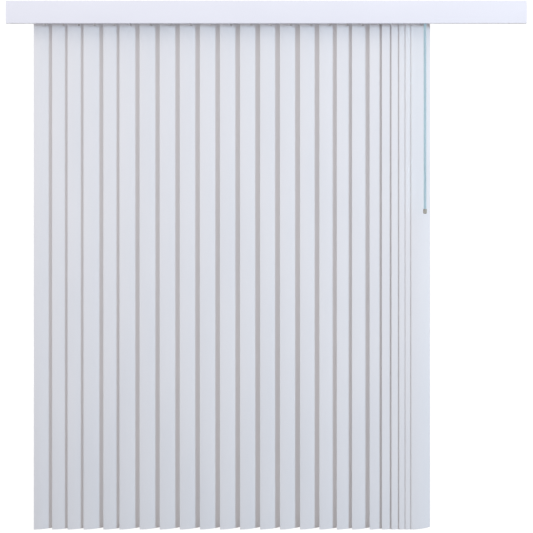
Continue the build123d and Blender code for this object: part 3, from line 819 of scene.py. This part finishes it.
def valance_face(finish):
    """Crowned strip with a lip and a shallow channel behind its top and bottom edges."""
    strip = along_rail(
        "valance_face", crown_strip(0, VALANCE_SHEET), face_low.x, face_high.x, finish
    )
    start = face_low.y + CROWN + VALANCE_SHEET / 4
    end = face_low.y + CROWN + VALANCE_LIP
    pieces = [strip]
    for edge, inward in ((face_high.z, -1), (face_low.z, 1)):
        sheet = edge + inward * VALANCE_SHEET
        channel = sheet + inward * CHANNEL_DEPTH
        lip = [
            (start, edge), (end, edge), (end, channel), (end - CHANNEL_SHEET, channel),
            (end - CHANNEL_SHEET, sheet), (start, sheet),
        ]
        pieces.append(along_rail(
            "lip", lip, face_low.x + LIP_INSET, face_high.x - LIP_INSET, finish, Rounding=0.25 * MM
        ))
    thing = shaded(fused("valance_face", pieces), 40)
    return fitted(thing, "headrail", "vinyl_white", "valance_front")


# ------------------------------------------------ wand
def ring_outline(radius, y, z, foot, points=14):
    """Flat-footed ear with a round top, as (y, z)."""
    outline = [(y - radius, foot), (y + radius, foot)]
    for step in range(points + 1):
        turn = pi * step / points
        outline.append((y + radius * cos(turn), z + radius * sin(turn)))
    return outline


def disc(name, radius, start, end, y, z, finish, points=28):
    """Round bar along X."""
    outline = [
        (y + radius * cos(2 * pi * step / points), z + radius * sin(2 * pi * step / points))
        for step in range(points)
    ]
    return along_rail(name, outline, start, end, finish)


def wand_rod(finish):
    """Six-sided rod with a fork and a pin at its top."""
    outline = hexagon(WAND_FLATS, WAND_X, WAND_Y)
    pieces = [run_out("rod", outline, wand_low.z, WAND_TOP, finish, Rounding=0.8 * MM, Steps=3)]
    for side in (-1, 1):
        start, end = sorted((WAND_X + side * EAR_INNER, WAND_X + side * EAR_OUTER))
        ear = ring_outline(EAR_RADIUS, WAND_Y, EYE_Z, WAND_TOP - 0.5 * MM)
        pieces.append(along_rail("ear", ear, start, end, finish))
    pin_half = EAR_OUTER - 0.2 * MM
    pieces.append(
        disc("pin", PIN_RADIUS, WAND_X - pin_half, WAND_X + pin_half, WAND_Y, EYE_Z, finish)
    )
    thing = fused("wand_rod", pieces)
    eased(thing, 0.2 * MM, 40)
    return fitted(thing, "wand", "clear_acrylic", "wand")


def wand_stem(finish):
    """Upright that the wand turns: head and collar either side of the arm's boss, and a flat eye."""
    head_foot = stem_high.z - STEM_HEAD_HEIGHT
    neck_foot = EYE_Z + EYE_RADIUS + 0.5 * MM
    collar_foot = COLLAR_TOP - COLLAR_HEIGHT
    upright = turned("wand_stem_upright", [
        (0, neck_foot), (WAND_STEM_RADIUS, neck_foot), (WAND_STEM_RADIUS, collar_foot),
        (COLLAR_RADIUS, collar_foot + 0.4 * MM), (COLLAR_RADIUS, COLLAR_TOP),
        (WAND_STEM_RADIUS, COLLAR_TOP), (WAND_STEM_RADIUS, head_foot), (STEM_HEAD_RADIUS, head_foot),
        (STEM_HEAD_RADIUS, stem_high.z - 0.8 * MM), (STEM_HEAD_RADIUS - 1 * MM, stem_high.z),
        (0, stem_high.z),
    ], finish, (WAND_X, WAND_Y, 0), 32)
    ring = ring_outline(EYE_RADIUS, WAND_Y, EYE_Z, EYE_Z - EYE_RADIUS - 1 * MM)
    ear = [(y, 2 * EYE_Z - z) for y, z in ring]
    eye = along_rail("eye", ear, WAND_X - EYE_HALF, WAND_X + EYE_HALF, finish)
    thing = fused("wand_stem_upright", [upright, eye])
    hole = disc(
        "hole", PIN_RADIUS + PIN_CLEARANCE, WAND_X - 2 * EYE_HALF, WAND_X + 2 * EYE_HALF,
        WAND_Y, EYE_Z, finish,
    )
    fused("wand_stem_upright", [thing, hole], "DIFFERENCE")
    eased(thing, 0.12 * MM, 40)
    return fitted(thing, "wand_stem", "clear_plastic", "wand_stem")


def wand_grip(finish):
    """Rounded bead pushed over the foot of the wand."""
    radius = (tip_high.x - tip_low.x) / 2
    foot = tip_low.z
    top = tip_high.z
    socket = corner_radius(WAND_FLATS) + SEATED
    outline = [(0, foot)]
    quarter = [(sin(pi / 2 * step / 8), cos(pi / 2 * step / 8)) for step in range(9)]
    for across, up in quarter:
        outline.append((radius - TIP_ROUNDING * (1 - across), foot + TIP_ROUNDING * (1 - up)))
    for up, across in quarter:
        outline.append((radius - TIP_SHOULDER * (1 - across), top - TIP_SHOULDER * (1 - up)))
    outline += [(socket, top), (socket, top - TIP_SOCKET - SEATED), (0, top - TIP_SOCKET - SEATED)]
    thing = turned("wand_grip", outline, finish, (WAND_X, WAND_Y, 0), 48)
    shaded(thing, 50)
    return fitted(thing, "wand", "smoky_plastic", "wand_tip")


# ------------------------------------------------ bolts
def bolt_and_nut(name, x, finish):
    """Bolt up through a rail clip and its bracket, with a six-sided nut on top."""
    under_bracket = bracket_high.z - BRACKET_STACK
    nut_foot = bracket_high.z
    nut_top = nut_foot + NUT_HEIGHT
    corner = corner_radius(NUT_FLATS)
    bolt = turned("bolt", [
        (0, bolt_low.z), (BOLT_HEAD - 0.4 * MM, bolt_low.z), (BOLT_HEAD, bolt_low.z + 0.4 * MM),
        (BOLT_HEAD, under_bracket), (BOLT_CORE + 0.1 * MM, under_bracket),
        (BOLT_CORE + 0.1 * MM, bolt_high.z - 0.5 * MM), (BOLT_CORE - 0.4 * MM, bolt_high.z),
        (0, bolt_high.z),
    ], finish, (0, 0, 0), 32)
    thread = bolt.modifiers.new("thread", "NODES")
    thread_top = bolt_high.z - 0.8 * MM
    set_inputs(thread, THREAD, Foot=under_bracket + 0.4 * MM, Top=thread_top, Finish=finish)
    plain(bolt)
    nut = run_out("nut", hexagon(NUT_FLATS), nut_foot, nut_top, finish)
    chamfer = turned("chamfer", [
        (0, nut_foot - 1 * MM), (corner - 0.5 * MM, nut_foot - 1 * MM), (corner - 0.5 * MM, nut_foot),
        (corner + 0.1 * MM, nut_foot + NUT_CHAMFER), (corner + 0.1 * MM, nut_top - NUT_CHAMFER),
        (corner - 0.5 * MM, nut_top), (0, nut_top),
    ], finish, (0, 0, 0), 36)
    fused("nut", [nut, chamfer], "INTERSECT")
    eased(nut, 0.1 * MM, 25)
    shaded(bolt, 30)
    for thing, title in ((bolt, "bolt"), (nut, "nut")):
        thing.data.transform(Matrix.Translation((x, RAIL_Y, 0)))
        thing.name = f"{title}_{name}"
        fitted(thing, "headrail", "zinc_steel", "clip_bolts")


# ------------------------------------------------ CAD nodes that keep their shape
def eased_fitting(name, node, width, finish, slot):
    """Stands for a node of the headrail with the same shape, its edges eased."""
    fitted(softened(name, node, width, finish), "headrail", slot, node)


def repaint(node, finish):
    """Gives a CAD node a procedural material."""
    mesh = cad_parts[node].data
    mesh.materials.clear()
    mesh.materials.append(finish)


# ------------------------------------------------ stage
def floor_sheet(name, reach, material):
    """A level sheet a little below the blind."""
    height = cad_low.z - FLOOR_DROP
    mesh = bpy.data.meshes.new(name)
    corners = [(-reach, -reach), (reach, -reach), (reach, reach), (-reach, reach)]
    mesh.from_pydata([(x, y, height) for x, y in corners], [], [(0, 1, 2, 3)])
    mesh.materials.append(material)
    thing = shown(name, mesh)
    return thing


def stage_floor():
    """Plain white floor, clear from below, and a duller one in its place that light falls on."""
    white, tree, shader, _ = new_finish("white_floor", Roughness=1.0)
    shader.inputs["Base Color"].default_value = (0, 0, 0, 1)
    shader.inputs["Emission Color"].default_value = (1, 1, 1, 1)
    shader.inputs["Emission Strength"].default_value = WHITE
    under = add(tree, "ShaderNodeNewGeometry").outputs["Backfacing"]
    clear = add(tree, "ShaderNodeBsdfTransparent").outputs[0]
    one_sided = add(
        tree, "ShaderNodeMixShader", {0: under, 1: shader.outputs[0], 2: clear}
    ).outputs[0]
    tree.links.new(one_sided, tree.nodes["Material Output"].inputs["Surface"])
    seen = floor_sheet("studio_floor", FLOOR_REACH, white)
    seen.visible_diffuse = False
    seen.visible_glossy = False
    seen.visible_transmission = False
    seen.visible_shadow = False
    dull, _, shader, _ = new_finish("floor_bounce", Roughness=0.9)
    shader.inputs["Base Color"].default_value = (*FLOOR_BOUNCE, 1)
    felt = floor_sheet("floor_bounce", BOUNCE_REACH, dull)
    felt.visible_camera = False
    felt.visible_shadow = False


def sky():
    """White behind everything, and an even, slightly warm light from all round."""
    world = bpy.data.worlds.new("studio")
    world.use_nodes = True
    tree = world.node_tree
    light = tree.nodes["Background"]
    light.inputs["Color"].default_value = (*SKY_COLOUR, 1)
    light.inputs["Strength"].default_value = SKY_STRENGTH
    backdrop = add(
        tree, "ShaderNodeBackground", {"Color": (1, 1, 1, 1), "Strength": WHITE}
    ).outputs[0]
    direct = add(tree, "ShaderNodeLightPath").outputs["Is Camera Ray"]
    mixed = add(
        tree, "ShaderNodeMixShader", {0: direct, 1: light.outputs[0], 2: backdrop}
    ).outputs[0]
    tree.links.new(mixed, tree.nodes["World Output"].inputs["Surface"])
    bpy.context.scene.world = world


def soft_sun(name, aside, above, spread, strength, colour):
    """A distant lamp, aside of straight on to the blind and above the level, in degrees."""
    light = bpy.data.lights.new(name, "SUN")
    light.energy = strength
    light.angle = radians(spread)
    light.color = colour
    thing = shown(name, light)
    side, rise = radians(aside), radians(above)
    source = Vector((sin(side) * cos(rise), -cos(side) * cos(rise), sin(rise)))
    thing.location = source * SUN_AWAY
    thing.rotation_euler = (-source).to_track_quat("-Z", "Y").to_euler()


def soft_box(name, aside, height, away, size, power, colour):
    """A square lamp, aside of straight on in degrees, at a height and distance from the vanes."""
    light = bpy.data.lights.new(name, "AREA")
    light.size = size
    light.energy = power
    light.color = colour
    thing = shown(name, light)
    thing.visible_glossy = False
    side = radians(aside)
    thing.location = (away * sin(side), RAIL_Y - away * cos(side), height)
    aim = Vector((0, RAIL_Y, (cad_low.z + cad_high.z) / 2))
    thing.rotation_euler = (aim - thing.location).to_track_quat("-Z", "Y").to_euler()


def camera():
    """Level view of the middle of the blind from across a room."""
    lens = bpy.data.cameras.new("camera")
    lens.lens = LENS
    lens.sensor_width = SENSOR
    lens.clip_end = 100
    thing = shown("camera", lens)
    thing.location = CAMERA_PLACE
    thing.rotation_euler = (pi / 2, 0, 0)
    bpy.context.scene.camera = thing


# ------------------------------------------------ put together
RUN_OUT = run_out_tree()
PUNCH = punch_tree()
THREAD = thread_tree()

vinyl = vane_vinyl()
smooth_vinyl = valance_vinyl()
acetal = moulded_acetal()
paint = stoved_paint()
aluminium = drawn_aluminium()
zinc = zinc_plate()
plastic = clear_plastic()
acrylic = clear_acrylic()
smoky = smoky_plastic()

hanger_pattern = hanger_shape(acetal)
for number, x in enumerate(VANE_X, 1):
    vane(number, x, vinyl)
    hanger(number, x, hanger_pattern)
bpy.data.objects.remove(hanger_pattern)

headrail(paint)
tilt_rod(aluminium)
valance_face(smooth_vinyl)
for piece in (wand_rod(acrylic), wand_stem(plastic), wand_grip(smoky)):
    piece.visible_shadow = False    # clear plastic lets the light through
for side, x in zip(("left", "centre", "right"), BOLT_X):
    bolt_and_nut(side, x, zinc)

eased_fitting("rail_cap_pair", "rail_end_caps", 0.3 * MM, acetal, "moulded_white")
eased_fitting("bracket_set", "wall_brackets", 0.3 * MM, zinc, "zinc_steel")
eased_fitting("rail_clip_set", "rail_clips", 0.2 * MM, zinc, "zinc_steel")
eased_fitting("valance_clip_set", "valance_clips", 0.2 * MM, plastic, "clear_plastic")
for number in range(1, COUNT + 1):
    repaint(f"carrier_{number:02d}", acetal)

stage_floor()
sky()
soft_box("key", aside=53, height=-1.5, away=12, size=1.7, power=690, colour=(0.66, 0.83, 1.0))
soft_sun("fill", aside=-40, above=10, spread=80, strength=0.62, colour=(1.0, 0.96, 0.95))
soft_sun("back", aside=150, above=25, spread=50, strength=0.5, colour=(1.0, 0.98, 0.96))
camera()
bpy.context.scene.view_settings.view_transform = "Standard"
